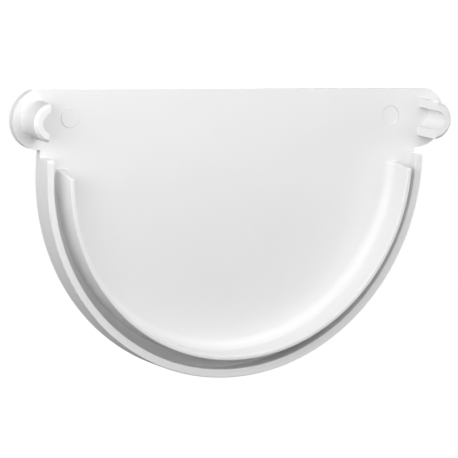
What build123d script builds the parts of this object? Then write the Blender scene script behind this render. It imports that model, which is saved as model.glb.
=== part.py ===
from build123d import *
import os

# X runs across the gutter, Y along it, Z up; the gutter pushes on from -Y
# The origin is the centre of the round walls, on the face the gutter butts against

# End plate
outer_radius = 62.5
plate_thickness = 2.5
top_edge_height = 22.25
back_edge_chamfer = 0.35
ear_corner_rounding = 0.2

# Ears that close the two tube-shaped beads of the gutter
ear_radius = 8.9
ear_centre_across = 63.0

# Outer wall and inner lip, with the groove for the gutter's cut end between them
outer_wall_thickness = 2.4
outer_wall_height = 5.1
groove_width = 3.3
lip_height = 8.93
lip_tip_thickness = 1.35
lip_root_thickness = 1.9
lip_root_rounding = 3.0
wall_tip_rounding = 0.3
lip_tip_rounding = 0.4

# Free ends of the two walls: height where they leave the plate, and the angle they fall at
left_outer_wall_end_height = 2.35
right_outer_wall_end_height = 3.2
outer_wall_end_slope = 2.0
left_lip_end_height = -1.0
left_lip_end_slope = 10.5
right_lip_end_height = 0.1
right_lip_end_slope = 4.8
free_end_rounding = 1.0

# C-shaped plugs that go inside the beads
plug_radius = 5.55
plug_height = 9.1
plug_bore_radius = 2.95
plug_outward_shift = 0.8
plug_upward_shift = 0.1
plug_tip_chamfer = 0.8
plug_mouth_at_root = 0.5
plug_mouth_at_tip = -0.6

# Round marks of the two ejector pins, one a little proud and one a little sunk
pin_mark_radius = 2.9
pin_mark_step = 0.25
pin_mark_inward_shift = 9.6
pin_mark_upward_shift = 0.5

# Depth that each raised feature reaches into the plate, so all join as one solid
root_overlap = 1.0
trim_margin = 2.0

groove_outer_radius = outer_radius - outer_wall_thickness
lip_radius = groove_outer_radius - groove_width
lip_tip_radius = lip_radius - lip_tip_thickness
lip_root_radius = lip_radius - lip_root_thickness
lip_foot_radius = lip_root_radius - lip_root_rounding - trim_margin
ear_centre_height = top_edge_height - ear_radius
plug_across = ear_centre_across + plug_outward_shift
plug_up = ear_centre_height + plug_upward_shift
pin_mark_across = ear_centre_across - pin_mark_inward_shift
pin_mark_up = ear_centre_height + pin_mark_upward_shift
ear_corner_height = ear_centre_height - ear_radius
trim_size = 4 * outer_radius
above_the_cut = (Align.CENTER, Align.MIN)

# The outer wall is one turned section, cut off a little above the middle at each end
with BuildPart() as outer_wall:
    with BuildSketch(Plane.XY):
        with BuildLine():
            Polyline(
                (groove_outer_radius, root_overlap),
                (groove_outer_radius, -outer_wall_height),
                (outer_radius, -outer_wall_height),
                (outer_radius, root_overlap),
                close=True,
            )
        make_face()
    revolve(axis=Axis.Y, revolution_arc=360)
    for side, height in ((-1, left_outer_wall_end_height), (1, right_outer_wall_end_height)):
        with BuildSketch(Plane.YZ):
            with Locations((0, height)):
                Rectangle(trim_size, trim_size, rotation=outer_wall_end_slope, align=above_the_cut)
        extrude(amount=side * trim_size, mode=Mode.SUBTRACT)
    outer_wall_tip_ends = outer_wall.faces().sort_by(Axis.Y)[0].edges().filter_by(GeomType.LINE)
    fillet(outer_wall_tip_ends, radius=free_end_rounding)
    outer_wall_tip_rims = outer_wall.faces().sort_by(Axis.Y)[0].edges().filter_by(GeomType.CIRCLE)
    fillet(outer_wall_tip_rims, radius=wall_tip_rounding)

# The lip is taller and thinner, with a wide rounding where it meets the plate inside
with BuildPart() as lip:
    with BuildSketch(Plane.XY) as lip_section:
        with BuildLine():
            Polyline(
                (lip_radius, root_overlap),
                (lip_radius, -lip_height),
                (lip_tip_radius, -lip_height),
                (lip_root_radius, 0),
                (lip_foot_radius, 0),
                (lip_foot_radius, root_overlap),
                close=True,
            )
        make_face()
        root_corner = lip_section.vertices().sort_by_distance((lip_root_radius, 0))[0]
        fillet(root_corner, radius=lip_root_rounding)
    revolve(axis=Axis.Y, revolution_arc=360)
    lip_ends = (
        (-1, left_lip_end_height, left_lip_end_slope),
        (1, right_lip_end_height, right_lip_end_slope),
    )
    for side, height, slope in lip_ends:
        with BuildSketch(Plane.YZ):
            with Locations((0, height)):
                Rectangle(trim_size, trim_size, rotation=slope, align=above_the_cut)
        extrude(amount=side * trim_size, mode=Mode.SUBTRACT)
    lip_tip_ends = lip.faces().sort_by(Axis.Y)[0].edges().filter_by(GeomType.LINE)
    fillet(lip_tip_ends, radius=free_end_rounding)
    lip_tip_rims = lip.faces().sort_by(Axis.Y)[0].edges().filter_by(GeomType.CIRCLE)
    fillet(lip_tip_rims, radius=lip_tip_rounding)

# One plug, a thick round stub with a chamfered tip
with BuildPart() as plug:
    with BuildSketch(Plane.XZ.offset(-root_overlap)):
        with Locations((plug_across, plug_up)):
            Circle(plug_radius)
    extrude(amount=root_overlap + plug_height)
    chamfer(plug.edges().group_by(Axis.Y)[0], length=plug_tip_chamfer)

# The round hollow of the plug, down to the plate
with BuildPart() as plug_hollow:
    with BuildSketch(Plane.XZ):
        with Locations((plug_across, plug_up)):
            Circle(plug_bore_radius)
    extrude(amount=plug_height + trim_margin)

# The open side of the plug, cut wider towards the tip so the plug enters the bead easily
with BuildPart() as plug_mouth:
    with BuildSketch(Plane.XY.offset(plug_up)):
        with BuildLine():
            Polyline(
                (plug_across - plug_mouth_at_root, 0),
                (plug_across - plug_mouth_at_tip, -plug_height),
                (plug_across - plug_mouth_at_tip, -plug_height - trim_margin),
                (plug_across - plug_radius - trim_margin, -plug_height - trim_margin),
                (plug_across - plug_radius - trim_margin, 0),
                close=True,
            )
        make_face()
    extrude(amount=plug_radius + trim_margin, both=True)

with BuildPart() as bead_plug:
    add(plug.part)
    add(plug_hollow.part, mode=Mode.SUBTRACT)
    add(plug_mouth.part, mode=Mode.SUBTRACT)

# The whole cap
with BuildPart() as end_cap:
    with BuildSketch(Plane.XZ) as plate_outline:
        Circle(outer_radius)
        with Locations((0, outer_radius / 2)):
            Rectangle(2 * outer_radius, outer_radius, mode=Mode.SUBTRACT)
        with Locations((0, top_edge_height / 2)):
            Rectangle(2 * outer_radius, top_edge_height)
        with Locations((ear_centre_across, ear_centre_height), (-ear_centre_across, ear_centre_height)):
            Circle(ear_radius)
        ear_corners = [
            plate_outline.vertices().sort_by_distance((side * outer_radius, ear_corner_height))[0]
            for side in (-1, 1)
        ]
        fillet(ear_corners, radius=ear_corner_rounding)
    extrude(amount=-plate_thickness)
    add(outer_wall.part)
    add(lip.part)
    add(bead_plug.part)
    mirror(bead_plug.part, about=Plane.YZ)

    # Pin marks
    with BuildSketch(Plane.XZ):
        with Locations((-pin_mark_across, pin_mark_up)):
            Circle(pin_mark_radius)
    extrude(amount=pin_mark_step)
    with BuildSketch(Plane.XZ):
        with Locations((pin_mark_across, pin_mark_up)):
            Circle(pin_mark_radius)
    extrude(amount=-pin_mark_step, mode=Mode.SUBTRACT)

    # Broken edge round the smooth back
    back_face = end_cap.faces().sort_by(Axis.Y)[-1]
    chamfer(back_face.outer_wire().edges(), length=back_edge_chamfer)

end_cap.part.label = "end_cap"

os.makedirs("parts", exist_ok=True)
export_step(end_cap.part, "parts/end_cap.step")
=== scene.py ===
import math

import bpy
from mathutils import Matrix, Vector

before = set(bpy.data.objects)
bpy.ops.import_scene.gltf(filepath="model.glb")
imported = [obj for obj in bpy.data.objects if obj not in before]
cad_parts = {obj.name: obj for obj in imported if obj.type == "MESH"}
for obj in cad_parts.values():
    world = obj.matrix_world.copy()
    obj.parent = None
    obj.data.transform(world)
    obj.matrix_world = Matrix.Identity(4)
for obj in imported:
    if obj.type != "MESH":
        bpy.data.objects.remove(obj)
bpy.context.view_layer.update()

# Metres, in the part's own frame: X across the gutter, Y along it, Z up
# The gutter pushes on from -Y, the side that the photo shows

# Camera as fitted to the photo: place, turn in degrees, lens and sensor in millimetres
CAMERA_PLACE = (-0.85268, -1.51195, 0.22476)
CAMERA_TURN = (81.984, -3.472, -28.965)
CAMERA_LENS = 471.6
SENSOR_WIDTH = 36.0
CLIP_START = 0.01
CLIP_END = 50.0

# Floor: the grey that light bounces from, and the grey that carries the object's shadow
FLOOR_HEIGHT = -0.12
FLOOR_RADIUS = 6.0
FLOOR_CORNERS = 64
FLOOR_BOUNCE = (0.06, 0.06, 0.06, 1.0)
FLOOR_COLOUR = (0.9, 0.9, 0.9, 1.0)

# Share of the shadow that shows near the middle, and the distances where it starts to fade and is gone
SHADOW_SHARE = 0.5
SHADOW_FULL = 0.06
SHADOW_GONE = 0.17

# White background as the camera and the reflections see it, and the world's own weak light
BACKGROUND_WHITE = (1.0, 1.0, 1.0, 1.0)
BACKGROUND_STRENGTH = 1.0
WORLD_STRENGTH = 0.005

# Soft round lamps: name, azimuth and elevation of the lamp, distance, width, watts
SOFTBOXES = [
    ("front_softbox", 0.0, 20.0, 0.3, 0.15, 0.166),
    ("upper_front_softbox", -15.0, 30.0, 0.3, 0.15, 0.176),
    ("upper_right_softbox", 20.0, 40.0, 0.3, 0.15, 0.129),
    ("right_front_softbox", 40.0, 10.0, 0.3, 0.15, 0.143),
    ("left_front_softbox", -55.0, 10.0, 0.3, 0.15, 0.163),
    ("upper_left_softbox", -40.0, 25.0, 0.3, 0.15, 0.125),
    ("left_softbox", -90.0, 20.0, 0.5, 0.40, 1.020),
]
LAMP_AIM = Vector((0.0, 0.0, -0.02))

# Far, soft lights: name, azimuth, elevation, strength, soft angle; the last lights the smooth back
FILLS = [
    ("upper_fill", 30.0, 40.0, 0.215, 30.0),
    ("left_fill", -60.0, 10.0, 0.530, 30.0),
    ("right_fill", 90.0, 10.0, 0.860, 30.0),
    ("back_fill", 145.0, 15.0, 3.3, 20.0),
]

# Moulded white plastic: linear colours
WHITE = (0.806, 0.801, 0.803, 1.0)
DULL_WHITE = (0.790, 0.785, 0.786, 1.0)
SPECK_COLOUR = (0.60, 0.58, 0.55, 1.0)
PLASTIC_IOR = 1.5

# Noise layers: scale per metre, detail, low and high noise, and what they give there
DRIFT = (22.0, 4.0, 0.32, 0.68, 0.0, 1.0)
SPECKS = (620.0, 1.0, 0.74, 0.82, 0.0, 0.22)
GLOSS = (48.0, 5.0, 0.30, 0.70, 0.44, 0.56)
STREAKS = (1.0, 3.0, 0.62, 0.75, 0.0, 0.09)
STREAK_SCALE = (35.0, 35.0, 1500.0)
STREAK_TURN = (0.0, 0.35, 0.0)

# Relief: scale and detail of the noise, depths and radius in metres
WAVES = (60.0, 2.0)
WAVE_DEPTH = 0.00012
GRAIN = (2400.0, 2.0)
GRAIN_DEPTH = 0.000008
SINK_DEPTH = 0.00004
EDGE_SOFTNESS = 0.0002
EDGE_SAMPLES = 6

# Marks of the mould on the back, placed by the part's own sizes: rings behind the lip and the plugs
LIP_MIDDLE = 0.0559
PLUG_CENTRE = (0.0638, 0.01345)
PLUG_MIDDLE = 0.00425
SINK_WIDTH = 0.0018

# Ring of the gate, and the two depths along Y between which the marks come in
GATE_CENTRE = (0.0, -0.018)
GATE_RADIUS = 0.0016
GATE_LINE = 0.0003
GATE_DEPTH_SHARE = 2.0
BACK_STARTS = 0.0020
BACK_FACE = 0.0024

# Sockets of the Mix node when it mixes colours, where several sockets share a name
MIX_SHARE = 0
MIX_FIRST = 6
MIX_SECOND = 7
MIX_RESULT = 2


def nodes_of(owner):
    """The emptied node tree of a material or world."""
    owner.use_nodes = True
    tree = owner.node_tree
    tree.nodes.clear()
    return tree


def add(tree, kind, **values):
    node = tree.nodes.new(kind)
    for name, value in values.items():
        setattr(node, name, value)
    return node


def node_input(tree, socket, value):
    """Links another node's output to a socket, or sets the socket's own value."""
    if isinstance(value, bpy.types.NodeSocket):
        tree.links.new(value, socket)
    else:
        socket.default_value = value


def noise(tree, place, scale, detail):
    node = add(tree, "ShaderNodeTexNoise")
    node_input(tree, node.inputs["Vector"], place)
    node.inputs["Scale"].default_value = scale
    node.inputs["Detail"].default_value = detail
    return node.outputs["Fac"]


def stretched(tree, place, scale, turn):
    node = add(tree, "ShaderNodeMapping")
    node_input(tree, node.inputs["Vector"], place)
    node.inputs["Scale"].default_value = scale
    node.inputs["Rotation"].default_value = turn
    return node.outputs["Vector"]


def ramp(tree, value, low, high, at_low=0.0, at_high=1.0):
    node = add(tree, "ShaderNodeMapRange", interpolation_type="SMOOTHSTEP")
    node_input(tree, node.inputs["Value"], value)
    limits = (("From Min", low), ("From Max", high), ("To Min", at_low), ("To Max", at_high))
    for name, number in limits:
        node.inputs[name].default_value = number
    return node.outputs["Result"]


def layer(tree, place, row):
    scale, detail, low, high, at_low, at_high = row
    return ramp(tree, noise(tree, place, scale, detail), low, high, at_low, at_high)


def calculate(tree, operation, first, second=0.0):
    node = add(tree, "ShaderNodeMath", operation=operation)
    node_input(tree, node.inputs[0], first)
    node_input(tree, node.inputs[1], second)
    return node.outputs[0]


def blend_colours(tree, share, first, second):
    node = add(tree, "ShaderNodeMix", data_type="RGBA")
    node_input(tree, node.inputs[MIX_SHARE], share)
    node_input(tree, node.inputs[MIX_FIRST], first)
    node_input(tree, node.inputs[MIX_SECOND], second)
    return node.outputs[MIX_RESULT]


def mix_shaders(tree, share, first, second):
    node = add(tree, "ShaderNodeMixShader")
    for socket, value in zip(node.inputs, (share, first, second)):
        node_input(tree, socket, value)
    return node.outputs["Shader"]


def bump(tree, height, depth, normal):
    node = add(tree, "ShaderNodeBump")
    node.inputs["Distance"].default_value = depth
    node_input(tree, node.inputs["Height"], height)
    node_input(tree, node.inputs["Normal"], normal)
    return node.outputs["Normal"]


def vector_length(tree, vector):
    node = add(tree, "ShaderNodeVectorMath", operation="LENGTH")
    node_input(tree, node.inputs[0], vector)
    return node.outputs["Value"]


def ring_distance(tree, across, up, centre, radius):
    """How far a place on the plate lies from a circle round centre."""
    flat = add(tree, "ShaderNodeCombineXYZ")
    node_input(tree, flat.inputs["X"], calculate(tree, "SUBTRACT", across, centre[0]))
    node_input(tree, flat.inputs["Y"], calculate(tree, "SUBTRACT", up, centre[1]))
    from_centre = vector_length(tree, flat.outputs["Vector"])
    return calculate(tree, "ABSOLUTE", calculate(tree, "SUBTRACT", from_centre, radius))


def ring_mark(tree, across, up, centre, radius, width):
    """1 on a circle round centre, falling to 0 at width from it."""
    return ramp(tree, ring_distance(tree, across, up, centre, radius), 0.0, width, 1.0, 0.0)


def back_marks(tree, place):
    """Sink marks behind the lip and the plugs, and the ring of the gate, on the smooth back."""
    split = add(tree, "ShaderNodeSeparateXYZ")
    node_input(tree, split.inputs[0], place)
    across, along, up = split.outputs
    lip_sink = ring_mark(tree, across, up, (0.0, 0.0), LIP_MIDDLE, SINK_WIDTH)
    below = ramp(tree, up, -SINK_WIDTH, SINK_WIDTH, 1.0, 0.0)
    lip_sink = calculate(tree, "MULTIPLY", lip_sink, below)
    mirrored = calculate(tree, "ABSOLUTE", across)
    plug_sink = ring_mark(tree, mirrored, up, PLUG_CENTRE, PLUG_MIDDLE, SINK_WIDTH)
    gate = ring_mark(tree, across, up, GATE_CENTRE, GATE_RADIUS, GATE_LINE)
    gate = calculate(tree, "MULTIPLY", gate, GATE_DEPTH_SHARE)
    sunk = calculate(tree, "ADD", calculate(tree, "ADD", lip_sink, plug_sink), gate)
    on_back = ramp(tree, along, BACK_STARTS, BACK_FACE)
    return calculate(tree, "MULTIPLY", calculate(tree, "MULTIPLY", sunk, on_back), -1.0)


def plastic():
    material = bpy.data.materials.new("white_plastic")
    tree = nodes_of(material)
    place = add(tree, "ShaderNodeTexCoord").outputs["Object"]
    out = add(tree, "ShaderNodeOutputMaterial")
    shader = add(tree, "ShaderNodeBsdfPrincipled")
    shader.inputs["IOR"].default_value = PLASTIC_IOR

    # Colour: a slow drift in the white, and a few dull specks
    colour = blend_colours(tree, layer(tree, place, DRIFT), WHITE, DULL_WHITE)
    colour = blend_colours(tree, layer(tree, place, SPECKS), colour, SPECK_COLOUR)
    node_input(tree, shader.inputs["Base Color"], colour)

    # Gloss: satin, uneven, with fine rubbed streaks
    streaks = layer(tree, stretched(tree, place, STREAK_SCALE, STREAK_TURN), STREAKS)
    roughness = calculate(tree, "ADD", layer(tree, place, GLOSS), streaks)
    node_input(tree, shader.inputs["Roughness"], roughness)

    # Relief: softened edges, slow waviness, fine grain, marks of the mould on the back
    edges = add(tree, "ShaderNodeBevel", samples=EDGE_SAMPLES)
    edges.inputs["Radius"].default_value = EDGE_SOFTNESS
    normal = bump(tree, noise(tree, place, *WAVES), WAVE_DEPTH, edges.outputs["Normal"])
    normal = bump(tree, noise(tree, place, *GRAIN), GRAIN_DEPTH, normal)
    normal = bump(tree, back_marks(tree, place), SINK_DEPTH, normal)
    node_input(tree, shader.inputs["Normal"], normal)
    node_input(tree, out.inputs["Surface"], shader.outputs["BSDF"])
    return material


def sees_background(tree):
    """1 for the rays that see the white background: from the camera, reflected or let through."""
    ray = add(tree, "ShaderNodeLightPath")
    seen = calculate(tree, "MAXIMUM", ray.outputs["Is Camera Ray"], ray.outputs["Is Glossy Ray"])
    return calculate(tree, "MAXIMUM", seen, ray.outputs["Is Transmission Ray"])


def matt(tree, colour):
    node = add(tree, "ShaderNodeBsdfDiffuse")
    node.inputs["Color"].default_value = colour
    return node.outputs["BSDF"]


def white_light(tree, kind, strength):
    node = add(tree, kind)
    node.inputs["Color"].default_value = BACKGROUND_WHITE
    node.inputs["Strength"].default_value = strength
    return node.outputs[0]


def floor_material():
    """White with the object's shadow near it where it is seen, and dark to the light that bounces."""
    material = bpy.data.materials.new("floor")
    tree = nodes_of(material)
    out = add(tree, "ShaderNodeOutputMaterial")
    place = add(tree, "ShaderNodeTexCoord").outputs["Object"]
    from_middle = vector_length(tree, place)
    shadow_share = ramp(tree, from_middle, SHADOW_FULL, SHADOW_GONE, SHADOW_SHARE, 0.0)
    white = white_light(tree, "ShaderNodeEmission", BACKGROUND_STRENGTH)
    seen = mix_shaders(tree, shadow_share, white, matt(tree, FLOOR_COLOUR))
    surface = mix_shaders(tree, sees_background(tree), matt(tree, FLOOR_BOUNCE), seen)
    node_input(tree, out.inputs["Surface"], surface)
    return material


def make_floor():
    bpy.ops.mesh.primitive_circle_add(
        vertices=FLOOR_CORNERS,
        radius=FLOOR_RADIUS,
        fill_type="NGON",
        location=(0.0, 0.0, FLOOR_HEIGHT),
    )
    floor = bpy.context.object
    floor.name = "floor"
    floor.data.materials.append(floor_material())


def make_world():
    """White where it is seen, and almost no light of its own on the object."""
    world = bpy.data.worlds.new("studio")
    bpy.context.scene.world = world
    tree = nodes_of(world)
    out = add(tree, "ShaderNodeOutputWorld")
    lit = white_light(tree, "ShaderNodeBackground", WORLD_STRENGTH)
    seen = white_light(tree, "ShaderNodeBackground", BACKGROUND_STRENGTH)
    surface = mix_shaders(tree, sees_background(tree), lit, seen)
    node_input(tree, out.inputs["Surface"], surface)


def direction(azimuth, elevation):
    """Unit vector towards a lamp: azimuth 0 is the front (-Y), 90 is the right (+X)."""
    turn = math.radians(azimuth)
    rise = math.radians(elevation)
    return Vector((
        math.sin(turn) * math.cos(rise),
        -math.cos(turn) * math.cos(rise),
        math.sin(rise),
    ))


def place_lamp(data, towards, place):
    lamp = bpy.data.objects.new(data.name, data)
    bpy.context.scene.collection.objects.link(lamp)
    lamp.location = place
    lamp.rotation_mode = "QUATERNION"
    lamp.rotation_quaternion = towards.to_track_quat("Z", "Y")
    lamp.visible_camera = False


def make_softbox(name, azimuth, elevation, distance, width, watts):
    data = bpy.data.lights.new(name, "AREA")
    data.shape = "DISK"
    data.size = width
    data.energy = watts
    towards = direction(azimuth, elevation)
    place_lamp(data, towards, LAMP_AIM + towards * distance)


def make_sun(name, azimuth, elevation, strength, soft_angle):
    data = bpy.data.lights.new(name, "SUN")
    data.energy = strength
    data.angle = math.radians(soft_angle)
    towards = direction(azimuth, elevation)
    place_lamp(data, towards, towards)


def make_camera():
    data = bpy.data.cameras.new("camera")
    data.lens = CAMERA_LENS
    data.sensor_width = SENSOR_WIDTH
    data.clip_start = CLIP_START
    data.clip_end = CLIP_END
    camera = bpy.data.objects.new("camera", data)
    bpy.context.scene.collection.objects.link(camera)
    camera.location = CAMERA_PLACE
    camera.rotation_euler = [math.radians(angle) for angle in CAMERA_TURN]
    bpy.context.scene.camera = camera


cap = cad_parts["end_cap"]
cap.data.materials.clear()
cap.data.materials.append(plastic())

make_floor()
make_world()
for row in SOFTBOXES:
    make_softbox(*row)
for row in FILLS:
    make_sun(*row)
make_camera()

bpy.context.scene.view_settings.view_transform = "Standard"
